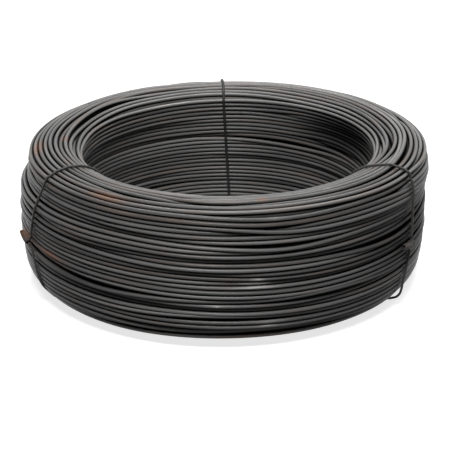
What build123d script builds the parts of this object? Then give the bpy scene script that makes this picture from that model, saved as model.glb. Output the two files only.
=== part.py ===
"""Coil of wire rod: one turned ring of wound rod, held by three twisted tie wires.

Lengths are in mm, +Z is up, the axis of the bore is Z and the floor is z = 0.
"""
from build123d import *
import math
import os

os.makedirs("parts", exist_ok=True)

# Ring of rod, measured outwards from the bore and upwards from the floor
rod_diameter = 5.5
bore_radius = 184.0
ring_width = 66.5
bulge = 8.5
bulge_height = 98.0

# Top end: a rounded crown of turns from the rim of the bore to the outer shoulder
rim_height = 164.0
crown_reach = 36.0
crown_rise = 15.5
shoulder_rise = 5.5

# Bottom end: turns on a flat, eased up to the bore and, more so, to the outside
bore_foot_height = 19.5
flat_inset = 9.0
flat_width = 32.0
foot_height = 31.0
foot_spread = 4.0
foot_corner_height = 14.5
foot_corner_inset = 7.0

# Valley between two turns on the ends, and the part of the crown that shows them
valley_depth = 2.0
turns_from_share = 0.2
turns_to_share = 0.8
bottom_turn_pitch = 8.0

# Bands of turns up the barrel and the bore, with a deep gap between two bands
band_pitch = 28.0
band_gap_depth = 4.0

# Tie wires: how close they lie, how far they hang off the foot, and the twist of their ends
tie_diameter = 3.2
seat_gap = 0.35
foot_slack = 4.0
twist_length = 24.0
twist_pitch = 10.0
twist_gap = 0.6
knot_share = 0.62
twist_bends = 14
wire_sides = 6

# Each tie: angle from +X at its knot, and how far it leans from there, in degrees,
# at the shoulder, at the rim, at the foot of the bore and at the foot corner
tie_places = {
    "tie_wire_back": (88.0, (2.2, 1.4, -0.8, -0.5)),
    "tie_wire_left": (205.0, (6.0, 8.0, 6.0, 4.0)),
    "tie_wire_right": (331.0, (0.0, -5.5, -4.0, -3.0)),
}

tie_radius = tie_diameter / 2
stand = tie_radius + seat_gap
bottom_height = tie_diameter + seat_gap
strand_offset = tie_radius + twist_gap / 2
shoulder_radius = bore_radius + ring_width
shoulder_height = rim_height + shoulder_rise
foot_radius = shoulder_radius + foot_spread
flat_inner_radius = bore_radius + flat_inset
flat_outer_radius = flat_inner_radius + flat_width

# Lines of the section: the crown and the barrel are arcs, seen in the XZ plane
rim = Vector(bore_radius, rim_height)
shoulder = Vector(shoulder_radius, shoulder_height)
foot = Vector(foot_radius, foot_height)
foot_corner = Vector(foot_radius - foot_corner_inset, foot_corner_height)
bore_foot = Vector(bore_radius, bore_foot_height)
crown_top = Vector(bore_radius + crown_reach, rim_height + crown_rise)
crown = ThreePointArc(rim, crown_top, shoulder)
barrel = ThreePointArc(shoulder, Vector(shoulder_radius + bulge, bulge_height), foot)
bore_wall = Line(bore_foot, rim)


def banded(line, inward):
    """Points of the bands along a line of the section: a ridge for each band, a gap after all but the last."""
    count = round(line.length / band_pitch)
    points = [line @ (1 / 2 / count)]
    for band in range(1, count):
        points.append(line @ (band / count) + inward * band_gap_depth)
        points.append(line @ ((band + 1 / 2) / count))
    return points


barrel_points = banded(barrel, Vector(-1, 0))
barrel_ridges = barrel_points[::2]
bore_points = banded(bore_wall, Vector(1, 0))

# Turns on the crown, from the bore outwards: a valley before and after each ridge
turns_share = turns_to_share - turns_from_share
crown_count = round(crown.length * turns_share / rod_diameter)
crown_ridges = []
crown_turns = []
for turn in range(crown_count + 1):
    spot = crown @ (turns_from_share + turns_share * turn / crown_count)
    crown_turns.append(spot + (crown.arc_center - spot).normalized() * valley_depth)
    if turn < crown_count:
        ridge = crown @ (turns_from_share + turns_share * (turn + 1 / 2) / crown_count)
        crown_ridges.append(ridge)
        crown_turns.append(ridge)

# Turns on the flat, from the outside to the bore
flat_count = round(flat_width / bottom_turn_pitch)
flat_pitch = flat_width / flat_count
flat_ridges = []
flat_turns = [Vector(flat_outer_radius, bottom_height + valley_depth)]
for turn in range(flat_count):
    ridge = Vector(flat_outer_radius - flat_pitch * (turn + 1 / 2), bottom_height)
    flat_ridges.append(ridge)
    flat_turns.append(ridge)
    flat_turns.append(ridge + Vector(-flat_pitch / 2, valley_depth))

# The ring: the section turned once round the axis
with BuildPart() as coil:
    with BuildSketch(Plane.XZ):
        with BuildLine():
            Polyline(
                rim,
                *crown_turns,
                shoulder,
                *barrel_points,
                foot,
                foot_corner,
                *flat_turns,
                bore_foot,
                *bore_points,
                close=True,
            )
        make_face()
    revolve(axis=Axis.Z)
export_step(coil.part, "parts/wire_coil.step")


def outward(start, end):
    """Unit normal of a section line, on the right of its direction."""
    line = (end - start).normalized()
    return Vector(line.Y, -line.X)


def stood_off(points, distances):
    """Corners of an open line moved off the section by a distance each; its ends are dropped."""
    moved = []
    for before, corner, after, distance in zip(points, points[1:], points[2:], distances):
        first = outward(before, corner)
        second = outward(corner, after)
        moved.append(corner + (first + second) * (distance / (1 + first.dot(second))))
    return moved


def share_between(value, start, end):
    """How far a value is from a start to an end, as a share."""
    return (value - start) / (end - start)


def lean_at(spot, leans):
    """Lean of a tie over a section point: it changes evenly from each of its marks to the next."""
    at_shoulder, at_rim, at_bore_foot, at_corner = leans
    if spot in above:
        return at_shoulder * share_between(spot.Y, knot_spot.Y, shoulder.Y)
    if spot in crown_ridges:
        return at_shoulder + (at_rim - at_shoulder) * share_between(spot.X, shoulder.X, rim.X)
    if spot in below:
        return at_corner * share_between(spot.Y, knot_spot.Y, foot_corner.Y)
    if spot is rim:
        return at_rim
    return at_bore_foot + (at_corner - at_bore_foot) * share_between(spot.X, bore_foot.X, foot_corner.X)


def on_ring(spot, angle):
    """Place of a section point on the ring at an angle in degrees from +X."""
    turned = math.radians(angle)
    return Vector(spot.X * math.cos(turned), spot.X * math.sin(turned), spot.Y)


def twisted_end(root, along, out, side):
    """Points of one twisted end from its root: a screw line about the axis of the twist."""
    points = []
    for bend in range(twist_bends + 1):
        reach = twist_length * bend / twist_bends
        turned = math.tau * reach / twist_pitch
        swing = Vector(0, 0, 1) * math.cos(turned) + out * math.sin(turned)
        points.append(root + along * reach + swing * (strand_offset * side))
    return points


# The line of a tie: from its knot up the barrel, over the crown, down the bore, under the flat
knot_spot = barrel @ knot_share
knot = knot_spot + Vector(stand + seat_gap + strand_offset, 0)
above = [shoulder] + [spot for spot in barrel_ridges if spot.Y > knot_spot.Y]
below = [spot for spot in barrel_ridges if spot.Y < knot_spot.Y] + [foot]
hugged = [
    knot_spot,
    *reversed(above),
    *reversed(crown_ridges),
    rim,
    bore_foot,
    flat_turns[-1],
    flat_ridges[-1],
    flat_ridges[0],
    foot_corner,
    *reversed(below),
    knot_spot,
]
distances = [stand + (foot_slack if spot is foot_corner else 0) for spot in hugged[1:-1]]
loop = stood_off(hugged, distances)

# Each tie is one wire: a twisted end, the loop round the ring, the other twisted end
for name, (knot_angle, leans) in tie_places.items():
    turn_angle = math.radians(knot_angle)
    out = Vector(math.cos(turn_angle), math.sin(turn_angle), 0)
    along = Vector(math.sin(turn_angle), -math.cos(turn_angle), 0)
    root = on_ring(knot, knot_angle)
    leant = [on_ring(moved, knot_angle + lean_at(spot, leans)) for spot, moved in zip(hugged[1:-1], loop)]
    with BuildPart() as tie:
        with BuildLine() as run:
            Polyline(
                *reversed(twisted_end(root, along, out, 1)),
                *leant,
                *twisted_end(root, along, out, -1),
            )
        with BuildSketch(Plane(run.wire() @ 0, z_dir=run.wire() % 0)):
            RegularPolygon(tie_radius, wire_sides)
        sweep(transition=Transition.RIGHT)
    export_step(tie.part, f"parts/{name}.step")
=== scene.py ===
"""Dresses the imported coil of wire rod: the real winding, its three twisted ties, light and camera.

The winding works in millimetres in the section of the ring, as (radius, height) at an azimuth about Z.
Meshes, lamps and the camera are in metres.
"""

import logging
import math
from dataclasses import dataclass, field
from enum import Enum

import bpy
import numpy as np
from mathutils import Matrix, Vector


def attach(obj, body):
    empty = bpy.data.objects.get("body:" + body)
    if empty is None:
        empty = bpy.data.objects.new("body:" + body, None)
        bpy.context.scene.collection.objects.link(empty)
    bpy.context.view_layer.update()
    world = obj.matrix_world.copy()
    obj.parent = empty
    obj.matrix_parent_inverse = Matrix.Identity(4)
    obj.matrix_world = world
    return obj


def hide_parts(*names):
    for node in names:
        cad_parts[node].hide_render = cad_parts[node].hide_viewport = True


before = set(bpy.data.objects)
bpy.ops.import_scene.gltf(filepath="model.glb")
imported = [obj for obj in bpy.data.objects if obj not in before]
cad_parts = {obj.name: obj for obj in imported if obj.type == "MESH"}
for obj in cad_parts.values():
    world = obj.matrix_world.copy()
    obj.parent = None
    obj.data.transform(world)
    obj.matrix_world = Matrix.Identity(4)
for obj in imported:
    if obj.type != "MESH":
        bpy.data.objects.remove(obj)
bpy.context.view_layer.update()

LOG = logging.getLogger("coil")
MM = 0.001
TINY = 1e-6

Pair = tuple[float, float]
Triple = tuple[float, float, float]
Socket = bpy.types.NodeSocket


class Slot(Enum):
    """Names of the material slots."""

    ROD = "rod_steel"
    TIE = "tie_steel"


def smooth_step(x: np.ndarray) -> np.ndarray:
    """Rises from 0 to 1 with level ends: three times the square less twice the cube.

    Args:
        x: any numbers; below 0 gives 0 and above 1 gives 1.

    Returns:
        The eased numbers.
    """
    x = np.clip(x, 0.0, 1.0)
    return x * x * (3.0 - 2.0 * x)


def bell(x: np.ndarray) -> np.ndarray:
    """Falls from 1 at nought: the exponential of minus the square."""
    return np.exp(-(x**2))


def round_the_ring(count: int) -> np.ndarray:
    """Angles of evenly spread stations on a full turn, from nought, with the end left out."""
    return np.linspace(0.0, math.tau, count, endpoint=False)


def short_way(angle: np.ndarray) -> np.ndarray:
    """The same angles, from minus half a turn to half a turn."""
    return (angle + math.pi) % math.tau - math.pi


def unit(vectors: np.ndarray) -> np.ndarray:
    """The vectors along the last axis, each made one long."""
    return vectors / np.linalg.norm(vectors, axis=-1, keepdims=True)


def lengths_along(line: np.ndarray) -> np.ndarray:
    """Way along a line from its start to each of its points."""
    return np.concatenate([[0.0], np.cumsum(np.linalg.norm(np.diff(line, axis=0), axis=1))])


def circle_through(a: Pair, b: Pair, c: Pair) -> tuple[np.ndarray, float]:
    """Circle through three points of the section: its centre is as far from each of them.

    Args:
        a: the first point.
        b: the second point.
        c: the third point.

    Returns:
        The centre and the radius.
    """
    first, second, third = (np.asarray(point, float) for point in (a, b, c))
    chords = 2.0 * np.array([second - first, third - first])
    squares = np.array([second @ second - first @ first, third @ third - first @ first])
    centre = np.linalg.solve(chords, squares)
    return centre, float(np.linalg.norm(first - centre))


def arc_points(a: Pair, b: Pair, c: Pair, count: int) -> np.ndarray:
    """Points along an arc: its centre plus its radius at evenly spread angles.

    Args:
        a: where the arc starts.
        b: a point that it goes through.
        c: where it ends.
        count: how many points, both ends included.

    Returns:
        The points as (count, 2).
    """
    centre, radius = circle_through(a, b, c)
    start, middle, end = (math.atan2(p[1] - centre[1], p[0] - centre[0]) for p in (a, b, c))
    turn = (end - start) % math.tau
    if (middle - start) % math.tau > turn:
        turn -= math.tau
    swept = start + turn * np.linspace(0.0, 1.0, count)
    return centre + radius * np.stack([np.cos(swept), np.sin(swept)], 1)


@dataclass(frozen=True)
class RingSection:
    """Outline of the coil's section, close to that of the solids, as (radius, height)."""

    bore_radius: float = 184.0
    rim_height: float = 164.0
    crown: Pair = (220.0, 179.5)
    shoulder: Pair = (250.5, 169.5)
    bulge: Pair = (259.0, 98.0)
    foot: Pair = (254.5, 31.0)
    foot_corner: Pair = (247.5, 14.5)
    flat_outer: Pair = (222.3, 3.55)
    flat_inner: Pair = (195.7, 3.55)
    bore_foot: Pair = (184.0, 19.5)
    barrel_corners: int = 9
    crown_corners: int = 15

    def outline(self) -> np.ndarray:
        """Corners of the outline, anticlockwise from the inner end of the flat.

        Returns:
            The corners as (count, 2).
        """
        rim = (self.bore_radius, self.rim_height)
        barrel = arc_points(self.foot, self.bulge, self.shoulder, self.barrel_corners)
        crown = arc_points(self.shoulder, self.crown, rim, self.crown_corners)
        bottom = np.array([self.flat_inner, self.flat_outer, self.foot_corner])
        return np.concatenate([bottom, barrel, crown[1:], np.array([self.bore_foot])])

    def half_planes(self, inset: float) -> tuple[np.ndarray, np.ndarray]:
        """Half planes that keep a strand's centre inside the outline.

        Args:
            inset: how far inside the outline the centre stays.

        Returns:
            The outward normal of each side, and how far out along it the centre may lie.
        """
        corners = self.outline()
        edges = np.roll(corners, -1, axis=0) - corners
        normals = unit(np.stack([edges[:, 1], -edges[:, 0]], 1))
        return normals, (normals * corners).sum(1) - inset

    def barrel_radius(self, heights: np.ndarray) -> np.ndarray:
        """Radius of the barrel's arc at some heights.

        Args:
            heights: the heights.

        Returns:
            The radius at each height.
        """
        centre, radius = circle_through(self.foot, self.bulge, self.shoulder)
        return centre[0] + np.sqrt(radius**2 - (heights - centre[1]) ** 2)


@dataclass(frozen=True)
class Winding:
    """The one long rod, laid turn on turn in upright layers from the bore outwards."""

    section: RingSection = RingSection()
    rod: float = 5.5
    layers: int = 12
    row_pitch: float = 5.35
    stations: int = 168
    start_azimuth: float = math.radians(189.0)
    seed: int = 11

    # Slots: heights tried, room left at the outline, and layers that stop short of the crown
    tried_height: float = 200.0
    tried_steps: int = 801
    outline_room: float = 0.4
    short_column: float = 5.0
    short_every: int = 6
    short_first: int = 2

    # Steps from slot to slot, in radians on the way round, and the wander of a turn
    step_margin: float = 0.8
    step_width: float = 1.0
    step_spread: float = 0.1
    outer_step: float = 1.35
    wander: Pair = (1.5, 1.7)
    wander_stations: float = 15.0

    # Gaps between bands on the barrel and the bore, and turns set back at the right of the bore
    barrel_gaps: tuple[float, ...] = (142.0, 114.0, 86.0, 58.0)
    bore_gaps: tuple[float, ...] = (48.5, 77.5, 106.0, 135.0)
    barrel_gap_depth: float = 2.6
    bore_gap_depth: float = 1.2
    gap_width: float = 3.2
    gap_drift: Pair = (2.5, 1.5)
    gap_phases: Pair = (1.7, 0.6)
    set_back: float = 4.2
    set_back_azimuth: float = math.radians(35.0)
    set_back_spread: float = 0.5
    set_back_height: float = 130.0
    set_back_reach: float = 22.0

    # Unevenness of the turns that show
    uneven_seed: int = 16
    unevenness: float = 1.1
    uneven_stations: float = 9.0
    uneven_lift: float = 0.3
    uneven_limit: float = 3.0
    bore_uneven_share: float = 0.5
    steep: float = 0.85

    # Room between turns: all through, near the surface away from the bore, and on the crown's sides
    clearance: float = 0.15
    surface_looseness: float = 0.5
    surface_depth: float = 5.0
    surface_radius: float = 188.0
    surface_ease: float = 10.0
    crown_looseness: float = 1.8
    crown_height: float = 150.0
    crown_ease: float = 15.0
    tight_share: float = 0.1

    # Relaxing: rounds, neighbours that push, how far they push, and smoothing along the rod
    rounds: int = 80
    neighbour_count: int = 26
    push_share: float = 0.28
    push_stations: float = 4.0
    last_stations: float = 2.2
    fixed_stations: int = 4
    bell_spreads: int = 3
    deep_overlap: float = 1.5

    def azimuths(self) -> np.ndarray:
        """Azimuth of each station, in radians."""
        return self.start_azimuth + round_the_ring(self.stations)

    def slots(self) -> tuple[np.ndarray, np.ndarray]:
        """Places of the turns in the section: each layer is a column, wound upwards or downwards by turns.

        Returns:
            The places in winding order as (slot, 2), and the layer of each.
        """
        normals, limits = self.section.half_planes(self.rod / 2)
        heights = np.linspace(0.0, self.tried_height, self.tried_steps)
        outer = self.section.barrel_radius(heights) - self.rod / 2
        inner = self.section.bore_radius + self.rod / 2
        places = []
        layer_of = []
        for layer in range(self.layers):
            radii = inner + (outer - inner) * layer / (self.layers - 1)
            line = np.stack([radii, heights], 1)
            inside = ((line @ normals.T) <= limits + self.outline_room).all(1)
            low, high = heights[inside][0], heights[inside][-1]
            if layer % self.short_every == self.short_first:
                high -= self.short_column
            rows = int((high - low) / self.row_pitch) + 1
            levels = np.linspace(low, high, rows)
            column = np.stack([np.interp(levels, heights, radii), levels], 1)
            places.append(column if layer % 2 == 0 else column[::-1])
            layer_of.append(np.full(rows, layer))
        return np.concatenate(places), np.concatenate(layer_of)

    def wound(self) -> np.ndarray:
        """Relaxed places of every turn.

        A turn steps from its slot to the next somewhere on its way round, wanders by smooth noise,
        and is then pushed apart from its neighbours and back into the outline, all as arrays.

        Returns:
            Places in the section as (turn, station, 2); each turn runs on into the next.
        """
        rng = np.random.default_rng(self.seed)
        slots, layer_of = self.slots()
        layer_of = layer_of[:-1]
        turns = len(layer_of)
        step_at = rng.uniform(self.step_margin, math.tau - self.step_margin, self.layers)[layer_of]
        step_at = np.where(layer_of == self.layers - 1, self.outer_step, step_at)
        step_at = step_at + rng.normal(0.0, self.step_spread, turns)
        step_at = np.clip(step_at, self.step_width / 2, math.tau - self.step_width / 2)
        way = round_the_ring(self.stations)[None] - step_at[:, None]
        stepped = smooth_step(way / self.step_width + 0.5)[..., None]
        places = slots[:-1, None] * (1.0 - stepped) + slots[1:, None] * stepped
        noise = rng.normal(size=(turns * self.stations, 2))
        wander = self.smoothed(noise, self.wander_stations, True).reshape(places.shape)
        return self.relaxed(places + wander * self.wander, slots[:-1])

    def smoothed(self, values: np.ndarray, width: float, keep_spread: bool = False) -> np.ndarray:
        """Values along the rod, each the mean of its surroundings weighted by a bell.

        Args:
            values: the values as (place along the rod, column).
            width: spread of the bell, in stations.
            keep_spread: scales the weights so that noise keeps its spread.

        Returns:
            The smoothed values, as many as before.
        """
        reach = int(width * self.bell_spreads)
        weights = np.exp(-0.5 * (np.arange(-reach, reach + 1) / width) ** 2)
        weights /= np.sqrt((weights**2).sum()) if keep_spread else weights.sum()
        size = len(values) + 2 * reach
        spectrum = np.fft.rfft(weights, size)[:, None]
        padded = np.fft.irfft(np.fft.rfft(values, size, axis=0) * spectrum, size, axis=0)
        return padded[reach : reach + len(values)]

    def recesses(self, places: np.ndarray) -> tuple[np.ndarray, np.ndarray]:
        """How far turns lie back from the barrel and from the bore, beyond their own unevenness.

        Each gap between two bands is a bell of the height about a line that drifts by two sines round
        the ring. On the right of the bore, turns under the rim lie further back, by a bell of the azimuth
        times a flatter one, of the fourth power, of the height.

        Args:
            places: places as (turn, station, 2).

        Returns:
            The way back from the barrel and from the bore, each as (turn, station).
        """
        azimuth = self.azimuths()
        height = places[..., 1]
        barrel = np.zeros(height.shape, np.float32)
        bore = np.zeros(height.shape, np.float32)
        for i, (outer, inner) in enumerate(zip(self.barrel_gaps, self.bore_gaps)):
            drift = self.gap_drift[0] * np.sin(azimuth + self.gap_phases[0] * i)
            drift = drift + self.gap_drift[1] * np.sin(2.0 * azimuth + self.gap_phases[1] * i)
            barrel += self.barrel_gap_depth * bell((height - outer - drift) / self.gap_width)
            bore += self.bore_gap_depth * bell((height - inner + drift) / self.gap_width)
        away = short_way(azimuth - self.set_back_azimuth) / self.set_back_spread
        level = (height - self.set_back_height) / self.set_back_reach
        bore += self.set_back * bell(away) * np.exp(-(level**4))
        return barrel, bore

    def uneven(self, turns: int) -> np.ndarray:
        """Random ways back of the turns from the outline, smooth along the rod.

        Args:
            turns: how many turns there are.

        Returns:
            The ways back as (turn, station), nought or more.
        """
        noise = np.random.default_rng(self.uneven_seed).normal(size=(turns * self.stations, 1))
        spread = self.smoothed(noise, self.uneven_stations, True).reshape(turns, self.stations)
        back = np.clip(self.unevenness * (spread + self.uneven_lift), 0.0, self.uneven_limit)
        return back.astype(np.float32)

    def looseness(self, places: np.ndarray, depth: np.ndarray) -> np.ndarray:
        """Room that a turn keeps round it beyond its own thickness.

        It falls with depth as a bell, and it rises on the crown with the square of the azimuth's cosine,
        so turns lie loosest at the left and the right.

        Args:
            places: places as (turn, station, 2).
            depth: depth of each place under the outline.

        Returns:
            The room as (turn, station).
        """
        sideways = self.tight_share + (1.0 - self.tight_share) * np.cos(self.azimuths()) ** 2
        outer = smooth_step((places[..., 0] - self.surface_radius) / self.surface_ease)
        room = self.clearance + self.surface_looseness * outer * bell(depth / self.surface_depth)
        on_crown = smooth_step((places[..., 1] - self.crown_height) / self.crown_ease)
        return (room + self.crown_looseness * sideways * on_crown).astype(np.float32)

    def relaxed(self, places: np.ndarray, slots: np.ndarray) -> np.ndarray:
        """Pushes turns apart to a rod's width and keeps them in the outline, round after round.

        Where turns cross, some overlap is left. It is logged here, before the smoothing adds to it.

        Args:
            places: first places as (turn, station, 2).
            slots: slot of each turn, from which its neighbours are found.

        Returns:
            The places when all rounds are done, smoothed along the rod.
        """
        turns, count, _ = places.shape
        near = np.linalg.norm(slots[:, None] - slots[None], axis=2)
        np.fill_diagonal(near, np.inf)
        neighbours = np.argsort(near, axis=1)[:, : self.neighbour_count]
        normals, limits = self.section.half_planes(self.rod / 2)
        normals = normals.astype(np.float32)
        uneven = self.uneven(turns)
        places = places.astype(np.float32)
        for _ in range(self.rounds):
            depth = (limits.astype(np.float32) - places @ normals.T).min(-1)
            room = self.looseness(places, depth)
            apart = places[:, None] - places[neighbours]
            gap = np.sqrt((apart**2).sum(-1)) + TINY
            spacing = self.rod + (room[:, None] + room[neighbours]) / 2
            press = np.clip(spacing - gap, 0.0, None) / gap
            push = (apart * press[..., None]).sum(1) * self.push_share
            push = self.smoothed(push.reshape(-1, 2), self.push_stations).reshape(places.shape)
            places = (places + push).astype(np.float32)
            barrel, bore = self.recesses(places)
            for normal, limit in zip(normals, limits):
                back = uneven
                if normal[0] > self.steep:
                    back = uneven + barrel
                if normal[0] < -self.steep:
                    back = uneven * self.bore_uneven_share + bore
                over = np.clip(places @ normal - limit + back, 0.0, None)
                places -= over[..., None] * normal
        gap = np.linalg.norm(places[:, None] - places[neighbours], axis=-1).min(1)
        overlap = self.rod - gap
        deep_share = float((overlap > self.deep_overlap).mean())
        LOG.info("before smoothing, deepest overlap of neighbours: %.2f mm", float(overlap.max()))
        LOG.info("before smoothing, share of overlaps over %.1f mm: %.3f", self.deep_overlap, deep_share)
        rough = places.reshape(-1, 2)
        middle = places.mean((0, 1))
        line = self.smoothed(rough - middle, self.last_stations) + middle
        line[: self.fixed_stations] = rough[: self.fixed_stations]
        line[-self.fixed_stations :] = rough[-self.fixed_stations :]
        return line.reshape(turns, count, 2)


@dataclass
class TubeSheet:
    """A mesh made of one or more tubes, with what the materials read at each vertex.

    straight holds the vertex's place on the rod laid out straight, in metres. tone is lighter above nought,
    and holds painted light, shade and glints besides the steel's own uneven tone. rust is the share of rust,
    and the painted shade mask is 1 where the steel is drawn lit and 0 in the painted shade between the
    turns and in grooves.
    """

    name: str
    points: np.ndarray
    faces: np.ndarray
    caps: list[list[int]]
    straight: np.ndarray
    tone: np.ndarray
    rust: np.ndarray
    unshaded: np.ndarray

    def build(self, material: bpy.types.Material, slot: Slot, node: str) -> bpy.types.Object:
        """Makes the object, dresses it and seats it on the coil's one body.

        Args:
            material: the finish of the whole piece.
            slot: the slot that the finish belongs to; it is not used.
            node: the solid that this piece stands for.

        Returns:
            The new object, with its place in its vertices.
        """
        mesh = bpy.data.meshes.new(self.name)
        mesh.from_pydata((self.points * MM).tolist(), [], self.faces.tolist() + self.caps)
        mesh.polygons.foreach_set("use_smooth", np.arange(len(mesh.polygons)) < len(self.faces))
        for label, values in (("tone", self.tone), ("rust", self.rust), ("unshaded", self.unshaded)):
            numbers = mesh.attributes.new(label, "FLOAT", "POINT")
            numbers.data.foreach_set("value", values.astype(np.float32))
        vectors = mesh.attributes.new("straight", "FLOAT_VECTOR", "POINT")
        vectors.data.foreach_set("vector", self.straight.astype(np.float32).ravel())
        mesh.update()
        mesh.materials.append(material)
        piece = bpy.data.objects.new(self.name, mesh)
        bpy.context.scene.collection.objects.link(piece)
        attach(piece, "root")
        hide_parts(node)
        return piece


def grid_faces(rows: int, sides: int, tubes: int = 1) -> np.ndarray:
    """Quads of tubes whose vertices run round the tube, then row by row, then tube by tube.

    Args:
        rows: rings of vertices on a tube.
        sides: vertices in a ring.
        tubes: how many tubes there are.

    Returns:
        Vertex numbers as (quad, 4), one way round.
    """
    row, side, tube = np.meshgrid(np.arange(rows - 1), np.arange(sides), np.arange(tubes), indexing="ij")
    ring = (tube * rows + row) * sides
    after = (side + 1) % sides
    quads = np.stack([ring + side, ring + after, ring + sides + after, ring + sides + side], -1)
    return quads.reshape(-1, 4)


@dataclass(frozen=True)
class Patch:
    """A patch on the turns: its middle, its reach along the ring and across it, and its strength."""

    azimuth: float
    radius: float
    height: float
    along: float
    across: float
    strength: float

    def at(self, points: np.ndarray) -> np.ndarray:
        """Strength of the patch: a bell of the distances along the ring and across it.

        Args:
            points: points in millimetres, along the last axis.

        Returns:
            The strength at each point.
        """
        turn = short_way(np.arctan2(points[..., 1], points[..., 0]) - math.radians(self.azimuth))
        along = turn * self.radius / self.along
        radius = np.hypot(points[..., 0], points[..., 1])
        across = np.hypot(radius - self.radius, points[..., 2] - self.height) / self.across
        return self.strength * np.exp(-0.5 * (along**2 + across**2))


@dataclass(frozen=True)
class RustAndPaintedLight:
    """Where the turns are rusty, and where light, shade and glints are painted on them.

    Each patch has its azimuth in degrees, then its radius, height and two reaches in millimetres, and then
    its strength.
    """

    rust: tuple[Patch, ...] = (
        Patch(187.5, 234.0, 178.0, 14.0, 4.5, 0.9),
        Patch(181.0, 198.5, 174.5, 5.0, 3.0, 0.8),
        Patch(235.5, 239.0, 175.7, 18.0, 4.0, 0.8),
        Patch(201.0, 259.0, 80.5, 12.0, 5.0, 0.9),
        Patch(216.0, 259.0, 80.0, 16.0, 3.5, 0.9),
        Patch(281.2, 226.0, 179.0, 3.0, 2.5, 0.9),
    )
    # Painted glints: spots on single turns painted much lighter where highlights fall
    painted_glints: tuple[Patch, ...] = (
        Patch(278.5, 257.0, 91.0, 12.0, 4.0, 5.5),
        Patch(283.4, 250.0, 165.0, 6.0, 2.6, 3.0),
        Patch(281.9, 254.0, 36.0, 12.0, 3.6, 4.5),
        Patch(268.0, 257.0, 60.0, 8.0, 3.0, 3.0),
        Patch(302.3, 224.4, 179.3, 2.5, 2.4, 2.6),
    )
    # Painted light and shade: broad patches painted lighter or darker, such as darker sides and bore walls, a
    # lighter back of the crown and a painted sheen at the back of the bore
    painted_light_and_shade: tuple[Patch, ...] = (
        Patch(338.0, 257.0, 95.0, 95.0, 45.0, -0.6),
        Patch(203.0, 257.0, 85.0, 85.0, 45.0, -0.9),
        Patch(160.0, 184.0, 110.0, 110.0, 45.0, -2.5),
        Patch(20.0, 184.0, 110.0, 110.0, 45.0, -0.6),
        Patch(185.0, 225.0, 178.0, 90.0, 20.0, -0.4),
        Patch(90.0, 222.0, 178.0, 140.0, 20.0, 0.7),
        Patch(270.0, 225.0, 178.0, 150.0, 20.0, -1.1),
        Patch(5.0, 225.0, 178.0, 90.0, 20.0, 1.6),
        Patch(112.0, 184.0, 125.0, 70.0, 40.0, 1.4),
        Patch(35.0, 184.0, 125.0, 60.0, 30.0, 1.4),
    )
    # Where the painted shade between the turns reaches further or less far, such as a painted shadow under
    # the rim at the right of the bore
    painted_shade: tuple[Patch, ...] = (
        Patch(338.0, 257.0, 95.0, 95.0, 45.0, 0.42),
        Patch(203.0, 257.0, 85.0, 85.0, 45.0, 0.22),
        Patch(20.0, 184.0, 110.0, 110.0, 45.0, 0.16),
        Patch(31.0, 186.0, 146.0, 48.0, 16.0, 0.4),
        Patch(185.0, 225.0, 178.0, 90.0, 20.0, 0.1),
        Patch(90.0, 222.0, 178.0, 140.0, 20.0, -0.6),
        Patch(270.0, 232.0, 177.0, 150.0, 22.0, -0.25),
    )

    def rust_at(self, points: np.ndarray) -> np.ndarray:
        """Share of rust at points in millimetres."""
        return sum(patch.at(points) for patch in self.rust)

    def painted_light_at(self, points: np.ndarray) -> np.ndarray:
        """How much lighter the steel is painted at points in millimetres: painted glints and painted light
        and shade.
        """
        return sum(patch.at(points) for patch in self.painted_glints + self.painted_light_and_shade)

    def painted_shade_at(self, points: np.ndarray) -> np.ndarray:
        """How much further the painted shade reaches out of the gaps between turns at points in millimetres.
        """
        return sum(patch.at(points) for patch in self.painted_shade)


@dataclass(frozen=True)
class LooseTurn:
    """A turn that has sprung part of the way over its neighbours, and how far and how widely it moved.

    Its azimuth is in degrees, its place and shift are in millimetres, and its spread is in radians.
    """

    azimuth: float
    place: Pair
    shift: Pair
    spread: float


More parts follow.
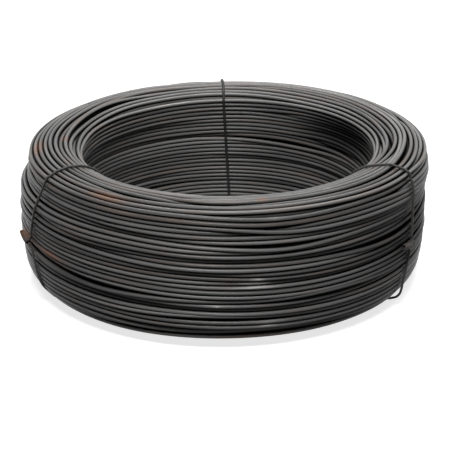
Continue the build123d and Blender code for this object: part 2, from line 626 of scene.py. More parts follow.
@dataclass
class RodTurns:
    """Turns the winding into meshes, sorted by where they show."""

    winding: Winding = Winding()
    rust_and_painted_light: RustAndPaintedLight = RustAndPaintedLight()
    loose_turns: tuple[LooseTurn, ...] = (
        LooseTurn(8.0, (202.0, 176.0), (-4.5, 2.6), 0.45),
        LooseTurn(345.0, (226.0, 177.0), (-2.4, 2.0), 0.34),
        LooseTurn(150.0, (204.0, 176.0), (2.4, 2.0), 0.4),
        LooseTurn(285.0, (257.0, 132.0), (2.0, -3.0), 0.25),
        LooseTurn(300.0, (256.0, 60.0), (1.8, 3.2), 0.3),
        LooseTurn(235.0, (257.0, 70.0), (1.8, -3.0), 0.3),
        LooseTurn(320.0, (257.0, 110.0), (1.8, -3.4), 0.3),
        LooseTurn(270.0, (255.5, 45.0), (1.6, 3.0), 0.35),
        LooseTurn(60.0, (185.5, 110.0), (-1.8, -3.0), 0.4),
    )

    # Tubes: sides and depths of the turns that show, of those behind them and of the rest
    face_sides: int = 12
    backing_sides: int = 7
    core_sides: int = 4
    core_step: int = 2
    face_depth: float = 3.2
    backing_depth: float = 14.0

    # How far the bore's turns lie out from its radius, and the crown's turns down from the rim
    bore_band: float = 9.0
    crown_band: float = 6.0

    # The upper turns sit to the right of the lower ones
    crown_shift: float = 6.8
    crown_shift_height: float = 126.0
    crown_shift_ease: float = 16.0

    # Painted shade between the turns: the depth over which it closes in, and how far a vertex has to face out
    # and up to be drawn lit; the upward tip paints the tops lighter and the undersides darker
    painted_shade_depth: float = 4.5
    outward_depth: float = 4.0
    upward_lift: float = 0.7
    unshaded_from: float = 0.34
    unshaded_ease: float = 0.66
    crown_unshaded: float = 0.3
    crown_unshaded_height: float = 152.0
    crown_unshaded_ease: float = 16.0

    # Tone of the turns, and the length of a mean turn in metres
    tone_seed: int = 12
    turn_tone: float = 0.75
    along_tone: float = 0.65
    tone_stations: float = 24.0
    tone_limits: Pair = (-2.0, 1.5)
    mean_turn: float = 1.38

    places: np.ndarray = field(init=False)
    nearest: np.ndarray = field(init=False)
    outward: np.ndarray = field(init=False)
    open_share: np.ndarray = field(init=False)
    lines: np.ndarray = field(init=False)
    tone: np.ndarray = field(init=False)

    def __post_init__(self) -> None:
        """Winds the rod and works out what each station of it shows.

        A station's way out is the mean of the outline's normals, weighted by how near each side is,
        tipped upwards. It lies open by a bell of its depth. Both set the painted shade between the turns,
        which paints the tops lighter and the undersides and the deep turns darker.
        """
        self.places = self.winding.wound()
        normals, limits = self.winding.section.half_planes(self.winding.rod / 2)
        depth = limits - self.places @ normals.T
        self.nearest = depth.min((1, 2))
        outward = unit(np.exp(-depth / self.outward_depth) @ normals)
        outward[..., 1] += self.upward_lift
        self.outward = self.run_on(unit(outward))
        self.open_share = self.run_on(bell(np.maximum(depth.min(-1), 0.0) / self.painted_shade_depth))
        self.loosen()
        self.shift_crown()
        self.lines = self.run_on(self.places)
        turns, stations, _ = self.places.shape
        rng = np.random.default_rng(self.tone_seed)
        noise = self.winding.smoothed(rng.normal(size=(turns * stations, 1)), self.tone_stations, True)
        tone = rng.normal(0.0, self.turn_tone, (turns, 1)) + self.along_tone * noise.reshape(turns, stations)
        self.tone = self.run_on(np.clip(tone, *self.tone_limits))

    def run_on(self, values: np.ndarray) -> np.ndarray:
        """Carries each turn on to the first station of the next turn.

        Args:
            values: values as (turn, station, ...).

        Returns:
            The values with one station more; the last turn repeats its last.
        """
        after = np.concatenate([values[1:, 0], values[-1:, -1]])
        return np.concatenate([values, after[:, None]], axis=1)

    def loosen(self) -> None:
        """Moves each loose turn partly over its neighbours and back, by a bell of the way round the ring."""
        azimuth = self.winding.azimuths()
        for loose in self.loose_turns:
            away = short_way(azimuth - math.radians(loose.azimuth))
            station = int(np.abs(away).argmin())
            gap = np.linalg.norm(self.places[:, station] - loose.place, axis=1)
            lifted = bell(away / loose.spread)[:, None] * np.array(loose.shift)
            self.places[int(gap.argmin())] += lifted

    def shift_crown(self) -> None:
        """Sits the upper turns a little to the right of the lower ones: a shift along X, eased by height."""
        upper = smooth_step((self.places[..., 1] - self.crown_shift_height) / self.crown_shift_ease)
        self.places[..., 0] += self.crown_shift * upper * np.cos(self.winding.azimuths())[None]

    def groups(self) -> dict[str, tuple[np.ndarray, int, int]]:
        """Sorts the turns into pieces.

        Returns:
            For each piece's name, which turns are in it, the sides of its tubes and their step in stations.
        """
        section = self.winding.section
        middle = self.places.mean(1)
        face = self.nearest < self.face_depth
        backing = ~face & (self.nearest < self.backing_depth)
        inner_half = np.cumsum(backing) <= backing.sum() / 2
        bore = middle[:, 0] < section.bore_radius + self.bore_band
        top = middle[:, 1] > section.rim_height - self.crown_band
        bottom = middle[:, 1] < section.foot[1]
        return {
            "crown_turns": (face & top, self.face_sides, 1),
            "foot_turns": (face & bottom & ~top, self.face_sides, 1),
            "bore_turns": (face & bore & ~top & ~bottom, self.face_sides, 1),
            "barrel_turns": (face & ~bore & ~top & ~bottom, self.face_sides, 1),
            "backing_turns_inner": (backing & inner_half, self.backing_sides, 1),
            "backing_turns_outer": (backing & ~inner_half, self.backing_sides, 1),
            "core_turns": (~face & ~backing, self.core_sides, self.core_step),
        }

    def unshaded(self, points: np.ndarray, facing: np.ndarray) -> np.ndarray:
        """How far each vertex is out of the painted shade between the turns, for the way it faces: an eased
        step, which starts later where the painted shade reaches further.

        On the crown it starts sooner towards the front and the back, by the square of the azimuth's sine.

        Args:
            points: vertices in millimetres.
            facing: cosine of the angle between the vertex's normal and the station's way out.

        Returns:
            1 where the steel is drawn lit and 0 in full painted shade, at each vertex.
        """
        across = points[..., 1] / np.hypot(points[..., 0], points[..., 1])
        on_crown = smooth_step((points[..., 2] - self.crown_unshaded_height) / self.crown_unshaded_ease)
        start = self.unshaded_from - self.crown_unshaded * on_crown * across**2 + self.rust_and_painted_light.painted_shade_at(points)
        return smooth_step((facing - start) / self.unshaded_ease)

    def sheet(self, name: str, chosen: np.ndarray, sides: int, step: int) -> TubeSheet:
        """Tubes of the chosen turns, with turns that follow each other joined and the ends closed.

        A vertex is the turn's place in the section plus a rod's radius at its angle round the rod,
        swung about Z to the station's azimuth.

        Args:
            name: the piece's name.
            chosen: which turns are in it.
            sides: vertices round the rod.
            step: stations from one ring of vertices to the next.

        Returns:
            The tubes as one sheet.
        """
        lines = self.lines[chosen][:, ::step]
        tubes, rows, _ = lines.shape
        share = np.linspace(0.0, 1.0, rows)
        azimuth = (self.winding.start_azimuth + math.tau * share)[None, :, None]
        round_rod = round_the_ring(sides)
        half = self.winding.rod / 2
        radius = lines[..., 0, None] + half * np.cos(round_rod)
        height = lines[..., 1, None] + half * np.sin(round_rod)
        points = np.stack([radius * np.cos(azimuth), radius * np.sin(azimuth), height], -1)
        along = (np.flatnonzero(chosen)[:, None] + share)[..., None] * self.mean_turn
        straight = np.broadcast_arrays(along, half * MM * np.cos(round_rod), half * MM * np.sin(round_rod))
        outward = self.outward[chosen][:, ::step, None]
        facing = outward[..., 0] * np.cos(round_rod) + outward[..., 1] * np.sin(round_rod)
        # Painted shade between the turns: darker where a vertex faces away from the way out, and deeper under
        # the outline
        unshaded = self.unshaded(points, facing) * self.open_share[chosen][:, ::step, None]
        # The steel's own uneven tone, plus painted glints and painted light and shade
        tone = self.tone[chosen][:, ::step, None] + self.rust_and_painted_light.painted_light_at(points)
        rust = self.rust_and_painted_light.rust_at(points)

        runs_on = np.diff(np.flatnonzero(chosen)) == 1
        kept = np.ones((tubes, rows, sides), bool)
        kept[:-1][runs_on, -1] = False
        number = np.cumsum(kept).reshape(kept.shape) - 1
        number[:-1][runs_on, -1] = number[1:][runs_on, 0]
        first_rings = number[np.append(True, ~runs_on), 0]
        last_rings = number[np.append(~runs_on, True), -1]
        return TubeSheet(
            name,
            points[kept],
            number.ravel()[grid_faces(rows, sides, tubes)[:, ::-1]],
            first_rings.tolist() + last_rings[:, ::-1].tolist(),
            np.stack(straight, -1)[kept],
            tone[kept],
            rust[kept],
            unshaded[kept],
        )

    def at_azimuths(self, azimuths: np.ndarray) -> np.ndarray:
        """Places of all turns, each where it crosses an azimuth of its own.

        Args:
            azimuths: an azimuth for each turn, in radians.

        Returns:
            The places as (turn, 2), evenly between the two nearest stations.
        """
        stations = self.winding.stations
        spot = ((azimuths - self.winding.start_azimuth) % math.tau) / math.tau * stations
        low = spot.astype(int) % stations
        share = (spot - np.floor(spot))[:, None]
        turn = np.arange(len(self.lines))
        return self.lines[turn, low] * (1.0 - share) + self.lines[turn, low + 1] * share


def convex_hull(points: np.ndarray) -> np.ndarray:
    """Corners of the convex hull of points of the section.

    Args:
        points: the points as (count, 2).

    Returns:
        The corners, anticlockwise.
    """
    ordered = points[np.lexsort((points[:, 1], points[:, 0]))]
    corners = []
    for run in (ordered, ordered[::-1]):
        chain: list[np.ndarray] = []
        for point in run:
            while len(chain) > 1:
                before, ahead = chain[-1] - chain[-2], point - chain[-1]
                if before[0] * ahead[1] - before[1] * ahead[0] > 0.0:
                    break
                chain.pop()
            chain.append(point)
        corners += chain[:-1]
    return np.array(corners)


def resampled(line: np.ndarray, spacing: float) -> np.ndarray:
    """Points at even steps along a line.

    Args:
        line: the line's points as (count, axes).
        spacing: about how long a step is.

    Returns:
        The new points, both ends included.
    """
    reach = lengths_along(line)
    steps = np.linspace(0.0, reach[-1], max(2, int(reach[-1] / spacing)))
    return np.stack([np.interp(steps, reach, line[:, axis]) for axis in range(line.shape[1])], 1)


@dataclass(frozen=True)
class TieWire:
    """One soft wire pulled round the ring, its two ends twisted together and bent along the ring.

    leans are degrees from the knot's azimuth at the shoulder, the rim, the foot of the bore and the foot
    corner. slack is how far the loop stands off the foot corner, or, below nought, is drawn in there.
    """

    name: str
    node: str
    knot_azimuth: float
    leans: tuple[float, float, float, float]
    slack: float
    rust: float
    wire: float = 3.0
    # Painted shade: how much darker the whole wire is drawn
    shade: float = 0.0
    sides: int = 12

    # Marks of the section between which the lean changes
    section: RingSection = RingSection()
    knot_height: float = 82.0
    middle_height: float = 100.0
    bore_side: float = 200.0
    barrel_side: float = 247.0

    # The loop: how finely the hull is drawn, where its outside is, and how it bows at the foot corner
    lean_rounds: int = 2
    hull_sides: int = 24
    hull_spacing: float = 2.0
    outer_radius: float = 220.0
    bow_place: Pair = (250.0, 15.0)
    bow_reach: float = 10.0
    bow_way: Pair = (0.95, -0.3)
    lean_window: int = 9

    # The twist: two screw lines about one axis, which starts off the knot and rises to its end
    twist_length: float = 26.0
    twist_pitch: float = 7.6
    twist_rise: float = 5.0
    twist_lead: float = 1.2
    twist_stagger: float = 2.0
    twist_points: int = 60
    twist_radius_share: float = 0.85
    knot_stand_share: float = 1.15

    # The path: loop points left out beside the knot, its spacing, its smoothing and a way off its start
    open_points: int = 3
    path_spacing: float = 0.9
    path_weights: tuple[float, ...] = (0.06, 0.24, 0.4, 0.24, 0.06)
    first_side: Triple = (0.3, 0.5, 0.8)

    # Finish: painted shade in the grooves of the twist, rust and a painted glint about its tip, and an uneven
    # tone
    groove_window: int = 21
    groove_from: float = 0.7
    groove_ease: float = 1.0
    unshaded_from: float = -0.1
    unshaded_ease: float = 0.9
    tip_reach: float = 14.0
    glint: float = 0.8
    tone_swing: float = 0.4
    tone_rate: float = 40.0

    def azimuths(self, spots: np.ndarray) -> np.ndarray:
        """Azimuth of the leaning loop over points of the section.

        The lean changes evenly from the knot to the shoulder, over the crown to the rim, down the bore
        to its foot, under the flat to the foot corner, and back up to the knot.

        Args:
            spots: points of the section as (count, 2).

        Returns:
            The azimuth over each point, in radians.
        """
        shoulder, rim, bore_foot, corner = self.leans
        radius, height = spots[:, 0], spots[:, 1]
        across = np.clip((radius - self.bore_side) / (self.barrel_side - self.bore_side), 0.0, 1.0)
        over = rim + (shoulder - rim) * across
        under = bore_foot + (corner - bore_foot) * across
        shoulder_height = self.section.shoulder[1]
        corner_height = self.section.foot_corner[1]
        foot_height = self.section.bore_foot[1]
        up = np.minimum((height - self.knot_height) / (shoulder_height - self.knot_height), 1.0)
        down = np.minimum((self.knot_height - height) / (self.knot_height - corner_height), 1.0)
        outside = np.where(height > self.knot_height, shoulder * up, corner * down)
        raised = (height - foot_height) / (self.section.rim_height - foot_height)
        inside = bore_foot + (rim - bore_foot) * np.clip(raised, 0.0, 1.0)
        on_end = (across > 0.0) & (across < 1.0)
        end = np.where(height > self.middle_height, over, under)
        lean = np.where(on_end, end, np.where(across > 0.5, outside, inside))
        return np.radians(self.knot_azimuth + lean)

    def loop(self, turns: RodTurns) -> np.ndarray:
        """The loop in the section: the hull of the turns that it binds, half a wire off them.

        At the foot corner it bows out or in by a bell of the distance.

        Args:
            turns: the turns.

        Returns:
            Points from the knot up, over the crown, down the bore and under the flat.
        """
        places = turns.at_azimuths(np.full(len(turns.lines), math.radians(self.knot_azimuth)))
        for _ in range(self.lean_rounds):
            places = turns.at_azimuths(self.azimuths(places))
        reach = turns.winding.rod / 2 + self.wire / 2
        ring = round_the_ring(self.hull_sides)
        cloud = places[:, None] + reach * np.stack([np.cos(ring), np.sin(ring)], 1)
        cloud = cloud.reshape(-1, 2)
        cloud[:, 1] = np.maximum(cloud[:, 1], self.wire / 2)
        corners = convex_hull(cloud)
        hull = resampled(np.concatenate([corners, corners[:1]]), self.hull_spacing)[:-1]
        from_knot = np.where(hull[:, 0] > self.outer_radius, np.abs(hull[:, 1] - self.knot_height), np.inf)
        hull = np.roll(hull, -int(from_knot.argmin()), axis=0)
        away = np.linalg.norm(hull - self.bow_place, axis=1)
        hull += self.slack * np.exp(-0.5 * (away / self.bow_reach) ** 2)[:, None] * self.bow_way
        hull[:, 1] = np.maximum(hull[:, 1], self.wire / 2)
        return hull

    def swung(self, loop: np.ndarray) -> np.ndarray:
        """The loop swung from the section to its azimuths, which are smoothed by a rounded window.

        Args:
            loop: points of the loop in the section.

        Returns:
            The points as (count, 3).
        """
        azimuth = self.azimuths(loop)
        width = self.lean_window
        wrapped = np.concatenate([azimuth[-width:], azimuth, azimuth[:width]])
        azimuth = np.convolve(wrapped, np.hanning(2 * width + 3)[1:-1] / (width + 1), "valid")
        return np.stack([loop[:, 0] * np.cos(azimuth), loop[:, 0] * np.sin(azimuth), loop[:, 1]], 1)

    def twisted_end(self, knot: np.ndarray, side: float) -> np.ndarray:
        """One twisted end: a screw line about an axis that follows the ring and rises with the square.

        Args:
            knot: where the loop closes.
            side: 1 for the end above the axis at the knot, and -1 for the one below.

        Returns:
            Points of the end, from the knot.
        """
        turn = math.radians(self.knot_azimuth)
        out = np.array([math.cos(turn), math.sin(turn), 0.0])
        along = np.array([math.sin(turn), -math.cos(turn), 0.0])
        up = np.array([0.0, 0.0, 1.0])
        root = knot + out * (self.wire * self.knot_stand_share)
        reach = np.linspace(0.0, self.twist_length + self.twist_stagger * side, self.twist_points)[:, None]
        phase = math.tau * reach / self.twist_pitch
        screw = (up * np.cos(phase) + out * np.sin(phase)) * (self.wire * self.twist_radius_share * side)
        rise = up * self.twist_rise * (reach / self.twist_length) ** 2
        bent = out * (reach**2 / (2.0 * np.linalg.norm(root[:2])))
        return root + along * (reach + self.twist_lead) + screw + rise - bent

    def path(self, turns: RodTurns) -> np.ndarray:
        """The whole wire: one twisted end, the loop, the other twisted end, smoothed where they meet.

        Args:
            turns: the turns that it binds.

        Returns:
            Points of the wire as (count, 3), in millimetres.
        """
        loop = self.swung(self.loop(turns))
        first, last = (self.twisted_end(loop[0], side) for side in (1.0, -1.0))
        line = np.concatenate([first[::-1], loop[self.open_points : -self.open_points], last])
        line = resampled(line, self.path_spacing)
        edge = len(self.path_weights) // 2
        padded = np.pad(line, ((edge, edge), (0, 0)), mode="edge")
        return sum(weight * padded[i : i + len(line)] for i, weight in enumerate(self.path_weights))

    def unshaded(self, line: np.ndarray, offset: np.ndarray) -> np.ndarray:
        """How far the wire is out of painted shade: 0 in the grooves of the twist and 1 elsewhere.

        The middle of a twist is the path averaged over about one turn, and a groove faces it.

        Args:
            line: points of the wire.
            offset: way from each point to the vertices round it, one long, as (point, side, 3).

        Returns:
            1 where the wire is drawn lit and 0 in painted shade, as (point, side).
        """
        window = self.groove_window
        padded = np.pad(line, ((window // 2, window // 2), (0, 0)), mode="edge")
        total = np.cumsum(np.concatenate([np.zeros((1, 3)), padded]), axis=0)
        away = line - (total[window:] - total[:-window]) / window
        reach = np.linalg.norm(away, axis=1)
        twisted = smooth_step((reach - self.groove_from) / self.groove_ease)[:, None]
        facing = (offset * away[:, None]).sum(-1) / (reach[:, None] + TINY)
        return 1.0 - twisted * (1.0 - smooth_step((facing - self.unshaded_from) / self.unshaded_ease))

    def sheet(self, turns: RodTurns) -> TubeSheet:
        """The wire as a tube: a circle carried along the path without twisting.

        Args:
            turns: the turns that it binds.

        Returns:
            The tube, closed at both ends.
        """
        line = self.path(turns)
        rows = len(line)
        ahead = unit(np.gradient(line, axis=0))
        side = np.zeros_like(line)
        side[0] = unit(np.cross(ahead[0], self.first_side))
        for i in range(1, rows):
            side[i] = unit(side[i - 1] - ahead[i] * (side[i - 1] @ ahead[i]))
        other = np.cross(ahead, side)
        ring = round_the_ring(self.sides)
        offset = side[:, None] * np.cos(ring)[:, None] + other[:, None] * np.sin(ring)[:, None]
        points = line[:, None] + offset * self.wire / 2
        reach = lengths_along(line)[:, None] * MM
        half = self.wire / 2 * MM
        straight = np.stack(np.broadcast_arrays(reach, half * np.cos(ring), half * np.sin(ring)), -1)
        near_tip = np.exp(-0.5 * (np.linalg.norm(points - line[0], axis=-1) / self.tip_reach) ** 2)
        # Painted shade over the whole wire, an uneven tone, and a painted glint near the tip of the twist
        tone = self.shade + self.tone_swing * np.sin(reach * self.tone_rate) + self.glint * near_tip
        unshaded = self.unshaded(line, offset)
        rust = self.rust * near_tip * unshaded
        number = np.arange(rows * self.sides).reshape(rows, self.sides)
        return TubeSheet(
            self.name,
            points.reshape(-1, 3),
            grid_faces(rows, self.sides),
            [number[0, ::-1].tolist(), number[-1].tolist()],
            straight.reshape(-1, 3),
            tone.ravel(),
            rust.ravel(),
            unshaded.ravel(),
        )


@dataclass(frozen=True)
class Grain:
    """One noise: how fine it is along each axis, how many finer layers it has and how strong they are."""

    scale: Triple
    detail: float
    roughness: float = 0.55


@dataclass(frozen=True)
class NodeBoard:
    """Short ways to add and join nodes in one node tree."""

    tree: bpy.types.NodeTree

    def add(self, kind: str, **settings: str) -> bpy.types.Node:
        """Adds a node.

        Args:
            kind: the node's type.
            settings: its properties.

        Returns:
            The new node.
        """
        made = self.tree.nodes.new(kind)
        for key, value in settings.items():
            setattr(made, key, value)
        return made

    def feed(self, socket: Socket, value: Socket | float | Triple) -> None:
        """Joins a socket to another one, or sets it to a number or a colour.

        Args:
            socket: the socket that takes the value.
            value: an output, a number or a colour.
        """
        if isinstance(value, Socket):
            self.tree.links.new(value, socket)
        elif isinstance(value, tuple):
            socket.default_value = (*value, 1.0)
        else:
            socket.default_value = value

    def number(self, name: str) -> Socket:
        """A number that each vertex has."""
        return self.add("ShaderNodeAttribute", attribute_name=name).outputs["Fac"]

    def maths(self, operation: str, *values: Socket | float) -> Socket:
        """A sum, product or the like.

        Args:
            operation: what is done.
            values: up to three outputs or numbers.

        Returns:
            The result.
        """
        made = self.add("ShaderNodeMath", operation=operation)
        for socket, value in zip(made.inputs, values):
            self.feed(socket, value)
        return made.outputs["Value"]

    def noise(self, vector: Socket, grain: Grain) -> Socket:
        """Noise with a scale for each axis.

        Args:
            vector: the coordinates.
            grain: how fine the noise is.

        Returns:
            A number about one half.
        """
        mapping = self.add("ShaderNodeMapping")
        mapping.inputs["Scale"].default_value = grain.scale
        self.feed(mapping.inputs["Vector"], vector)
        texture = self.add("ShaderNodeTexNoise")
        self.feed(texture.inputs["Scale"], 1.0)
        self.feed(texture.inputs["Detail"], grain.detail)
        self.feed(texture.inputs["Roughness"], grain.roughness)
        self.feed(texture.inputs["Vector"], mapping.outputs["Vector"])
        return texture.outputs["Fac"]

    def swing(self, noise: Socket, share: float) -> Socket:
        """Noise about nought, times a share."""
        return self.maths("MULTIPLY", self.maths("SUBTRACT", noise, 0.5), share)

    def ramp(self, place: Socket, *stops: tuple[float, Triple]) -> Socket:
        """A colour that runs from stop to stop.

        Args:
            place: where on the ramp.
            stops: the place and the colour of each stop.

        Returns:
            The colour.
        """
        made = self.add("ShaderNodeValToRGB")
        elements = made.color_ramp.elements
        while len(elements) < len(stops):
            elements.new(0.5)
        for element, (position, colour) in zip(elements, stops):
            element.position = position
            element.color = (*colour, 1.0)
        self.feed(made.inputs["Fac"], place)
        return made.outputs["Color"]

    def mix(self, share: Socket, low: Socket | Triple, high: Socket | Triple) -> Socket:
        """A colour between two.

        Args:
            share: 0 for the first and 1 for the second.
            low: the first colour.
            high: the second colour.

        Returns:
            The mixed colour.
        """
        made = self.add("ShaderNodeMix", data_type="RGBA")
        self.feed(made.inputs["Factor"], share)
        self.feed(made.inputs["A"], low)
        self.feed(made.inputs["B"], high)
        return made.outputs["Result"]

    def held(self, value: Socket) -> Socket:
        """A number held between 0 and 1.

        Args:
            value: any number.

        Returns:
            The number, or the nearer end.
        """
        made = self.add("ShaderNodeClamp")
        self.feed(made.inputs["Value"], value)
        return made.outputs["Result"]

    def between(self, share: Socket, low: float, high: float) -> Socket:
        """A number from low to high.

        Args:
            share: 0 for low and 1 for high.
            low: the first number.
            high: the second number.

        Returns:
            The number.
        """
        made = self.add("ShaderNodeMapRange")
        self.feed(made.inputs["To Min"], low)
        self.feed(made.inputs["To Max"], high)
        self.feed(made.inputs["Value"], share)
        return made.outputs["Result"]

    def looked_at(self) -> Socket:
        """Tells what shows a surface from what it lights.

        Returns:
            1 for rays to the camera, from a gloss or through glass, and otherwise 0.
        """
        path = self.add("ShaderNodeLightPath").outputs
        shiny = self.maths("MAXIMUM", path["Is Camera Ray"], path["Is Glossy Ray"])
        return self.maths("MAXIMUM", shiny, path["Is Transmission Ray"])


@dataclass(frozen=True)
class ScaleFinish:
    """Dull dark mill scale on round rod, with rust, painted shade and painted light where the vertices say
    so.
    """

    name: str
    # Colours: painted shade between the turns and in grooves, dark and light steel, the palest steel, which
    # painted glints reach, brown and rust
    painted_shade: Triple
    dark: Triple
    light: Triple
    pale_and_glint: Triple
    warm: Triple
    rust: Triple
    roughness: float
    specular: float

    # Noises along the straight rod: long streaks, patches, whole turns and fine specks
    streaks: Grain = Grain((9.0, 380.0, 380.0), 4.0)
    patches: Grain = Grain((14.0, 60.0, 60.0), 3.0)
    turnwise: Grain = Grain((0.8, 0.0, 0.0), 1.0)
    specks: Grain = Grain((900.0, 900.0, 900.0), 3.0, 0.7)

    # Tone: how far the vertices' tone, which holds painted light, shade and glints, and the streaks move it,
    # and where the ramp's colours are
    tone_share: float = 0.13
    streak_share: float = 0.9
    ramp_places: Triple = (0.15, 0.82, 1.0)

    # Brown: how far patches and whole turns move it, and how much of it shows
    patch_share: float = 2.6
    turn_share: float = 1.8
    brown_share: float = 0.8

    # Rust breaks up into specks, is rougher, and the whole surface is a little grainy
    speck_from: float = 0.27
    speck_share: float = 3.2
    rust_roughness: float = 0.35
    uneven_roughness: float = 0.22
    grain: float = 0.22
    grain_depth: float = 0.0004
    grain_streaks: float = 0.8

    def material(self) -> bpy.types.Material:
        """Builds the node material: grey scale, browned, darkened by painted shade and then rusted.

        Returns:
            The material.
        """
        material = bpy.data.materials.new(self.name)
        material.use_nodes = True
        board = NodeBoard(material.node_tree)
        inputs = material.node_tree.nodes["Principled BSDF"].inputs
        straight = board.add("ShaderNodeAttribute", attribute_name="straight").outputs["Vector"]
        tone, rust, unshaded = (board.number(name) for name in ("tone", "rust", "unshaded"))
        streaks = board.noise(straight, self.streaks)
        patches = board.noise(straight, self.patches)
        turnwise = board.noise(straight, self.turnwise)
        specks = board.noise(straight, self.specks)

        blend = board.maths("MULTIPLY_ADD", tone, self.tone_share, 0.5)
        blend = board.maths("ADD", blend, board.swing(streaks, self.streak_share))
        grey = board.ramp(blend, *zip(self.ramp_places, (self.dark, self.light, self.pale_and_glint)))
        of_patches = board.swing(patches, self.patch_share)
        of_turns = board.swing(turnwise, self.turn_share)
        brown = board.maths("ADD", of_patches, of_turns)
        brown = board.maths("MULTIPLY", board.maths("MAXIMUM", brown, 0.0), self.brown_share)
        # Painted shade: a near-black colour where the vertex is not drawn lit
        with_painted_shade = board.mix(unshaded, self.painted_shade, board.mix(brown, grey, self.warm))
        speckled = board.maths("MULTIPLY", board.maths("SUBTRACT", specks, self.speck_from), self.speck_share)
        eaten = board.held(board.maths("MULTIPLY", rust, speckled))
        board.feed(inputs["Base Color"], board.mix(eaten, with_painted_shade, self.rust))
        # The painted shade takes the gloss away too
        board.feed(inputs["Specular IOR Level"], board.maths("MULTIPLY", unshaded, self.specular))

        smoothest = self.roughness - self.uneven_roughness / 2
        rough = board.maths("MULTIPLY_ADD", specks, self.uneven_roughness, smoothest)
        rough = board.maths("MULTIPLY_ADD", eaten, self.rust_roughness, rough)
        board.feed(inputs["Roughness"], rough)
        bump = board.add("ShaderNodeBump")
        board.feed(bump.inputs["Strength"], self.grain)
        board.feed(bump.inputs["Distance"], self.grain_depth)
        board.feed(bump.inputs["Height"], board.maths("MULTIPLY_ADD", streaks, self.grain_streaks, specks))
        board.feed(inputs["Normal"], bump.outputs["Normal"])
        return material


@dataclass(frozen=True)
class SoftBox:
    """A lamp: its name, its middle, its length and width in metres, and its power in watts."""

    name: str
    place: Triple
    size: Pair
    watts: float


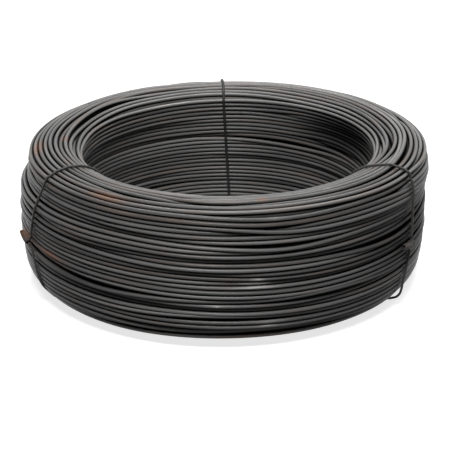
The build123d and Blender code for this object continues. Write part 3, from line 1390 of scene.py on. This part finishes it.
@dataclass(frozen=True)
class Studio:
    """White floor, soft light from above and the camera of the photograph."""

    # Camera: how far off, how high and how turned it is, and where in the frame it sees its aim
    distance: float = 2.0
    elevation: float = math.radians(21.73)
    roll: float = math.radians(0.48)
    aim: Triple = (0.0, 0.0, 0.09185)
    focal_px: float = 1552.4
    frame_px: float = 452.0
    seen_at: Pair = (223.2, 198.4)

    # Surroundings and floor: what they give to the coil, and what they show
    world_levels: Pair = (0.05, 1.0)
    floor_colours: Pair = (0.05, 0.45)
    floor_glows: Pair = (0.0, 0.76)
    floor_roughness: float = 0.9
    floor_specular: float = 0.1
    floor_half: float = 12.0

    # Soft boxes above the front, above the back and at the back right
    boxes: tuple[SoftBox, ...] = (
        SoftBox("front_box", (-0.1, -1.3, 2.2), (1.0, 0.5), 68.0),
        SoftBox("top_box", (0.1, 0.9, 2.1), (1.8, 0.8), 58.0),
        SoftBox("right_box", (1.65, 1.3, 1.3), (0.8, 0.8), 6.0),
    )

    def camera(self) -> None:
        """Sets the camera so that the aim is seen where it lies in the photograph."""
        back = Vector((0.0, -math.cos(self.elevation), math.sin(self.elevation)))
        right = Vector((1.0, 0.0, 0.0))
        up = back.cross(right)
        sideways = (self.frame_px / 2 - self.seen_at[0]) / self.focal_px
        upwards = (self.seen_at[1] - self.frame_px / 2) / self.focal_px
        turned_back = (back - right * sideways - up * upwards).normalized()
        rolled_up = up * math.cos(self.roll) + right * math.sin(self.roll)
        side = rolled_up.cross(turned_back).normalized()
        turned = Matrix((side, turned_back.cross(side), turned_back)).transposed().to_4x4()
        data = bpy.data.cameras.new("photo_camera")
        data.angle = 2.0 * math.atan(self.frame_px / 2 / self.focal_px)
        camera = bpy.data.objects.new("photo_camera", data)
        camera.matrix_world = Matrix.Translation(Vector(self.aim) + back * self.distance) @ turned
        bpy.context.scene.collection.objects.link(camera)
        bpy.context.scene.camera = camera

    def lamp(self, box: SoftBox) -> None:
        """Puts up a soft box that faces the coil.

        Args:
            box: the lamp's place, size and power.
        """
        data = bpy.data.lights.new(box.name, "AREA")
        data.shape = "RECTANGLE"
        data.size, data.size_y = box.size
        data.energy = box.watts
        lamp = bpy.data.objects.new(box.name, data)
        lamp.location = box.place
        lamp.rotation_euler = (Vector(self.aim) - Vector(box.place)).to_track_quat("-Z", "Y").to_euler()
        bpy.context.scene.collection.objects.link(lamp)

    def world(self) -> None:
        """Even pale surroundings that light the coil gently and look white to the camera."""
        world = bpy.data.worlds.new("studio")
        bpy.context.scene.world = world
        world.use_nodes = True
        board = NodeBoard(world.node_tree)
        inputs = world.node_tree.nodes["Background"].inputs
        board.feed(inputs["Color"], (1.0, 1.0, 1.0))
        board.feed(inputs["Strength"], board.between(board.looked_at(), *self.world_levels))

    def floor(self) -> None:
        """A wide pale floor that keeps the coil's shadow: one flat square."""
        half = self.floor_half
        corners = [(-half, -half, 0.0), (half, -half, 0.0), (half, half, 0.0), (-half, half, 0.0)]
        mesh = bpy.data.meshes.new("floor")
        mesh.from_pydata(corners, [], [(0, 1, 2, 3)])
        material = bpy.data.materials.new("floor")
        material.use_nodes = True
        board = NodeBoard(material.node_tree)
        inputs = material.node_tree.nodes["Principled BSDF"].inputs
        shown = board.looked_at()
        board.feed(inputs["Roughness"], self.floor_roughness)
        board.feed(inputs["Specular IOR Level"], self.floor_specular)
        board.feed(inputs["Base Color"], board.between(shown, *self.floor_colours))
        board.feed(inputs["Emission Color"], (1.0, 1.0, 1.0))
        board.feed(inputs["Emission Strength"], board.between(shown, *self.floor_glows))
        mesh.materials.append(material)
        floor = bpy.data.objects.new("floor", mesh)
        bpy.context.scene.collection.objects.link(floor)

    def build(self) -> None:
        """Puts the whole studio up."""
        bpy.context.scene.view_settings.view_transform = "Standard"
        self.camera()
        self.world()
        self.floor()
        for box in self.boxes:
            self.lamp(box)


ROD_SCALE = ScaleFinish(
    name="rod_scale",
    painted_shade=(0.006, 0.006, 0.006),
    dark=(0.04, 0.0394, 0.0388),
    light=(0.15, 0.148, 0.146),
    pale_and_glint=(0.5, 0.49, 0.48),
    warm=(0.13, 0.096, 0.076),
    rust=(0.21, 0.093, 0.047),
    roughness=0.31,
    specular=0.2,
)
TIE_SCALE = ScaleFinish(
    name="tie_scale",
    painted_shade=(0.02, 0.02, 0.02),
    dark=(0.02, 0.02, 0.02),
    light=(0.07, 0.068, 0.066),
    pale_and_glint=(0.2, 0.2, 0.2),
    warm=(0.07, 0.056, 0.045),
    rust=(0.2, 0.1, 0.055),
    roughness=0.4,
    specular=0.08,
)
TIES = (
    TieWire("tie_back", "tie_wire_back", 88.0, (2.2, 1.4, -0.8, -0.5), 2.0, 0.4, wire=3.6, shade=-3.0),
    TieWire("tie_left", "tie_wire_left", 205.0, (6.0, 8.0, 6.0, 4.0), -2.5, 1.0),
    TieWire("tie_right", "tie_wire_right", 331.0, (0.0, -5.5, -4.0, -3.0), 4.0, 0.1),
)


def main() -> None:
    """Builds the dressed coil, its ties and the studio."""
    logging.basicConfig(level=logging.INFO)
    turns = RodTurns()
    pieces = []
    rod = ROD_SCALE.material()
    for name, (chosen, sides, step) in turns.groups().items():
        pieces.append(turns.sheet(name, chosen, sides, step).build(rod, Slot.ROD, "wire_coil"))
    tie = TIE_SCALE.material()
    for wire in TIES:
        pieces.append(wire.sheet(turns).build(tie, Slot.TIE, wire.node))
    for piece in pieces:
        LOG.info("%s: %d faces", piece.name, len(piece.data.polygons))
    Studio().build()


if __name__ == "__main__":
    main()
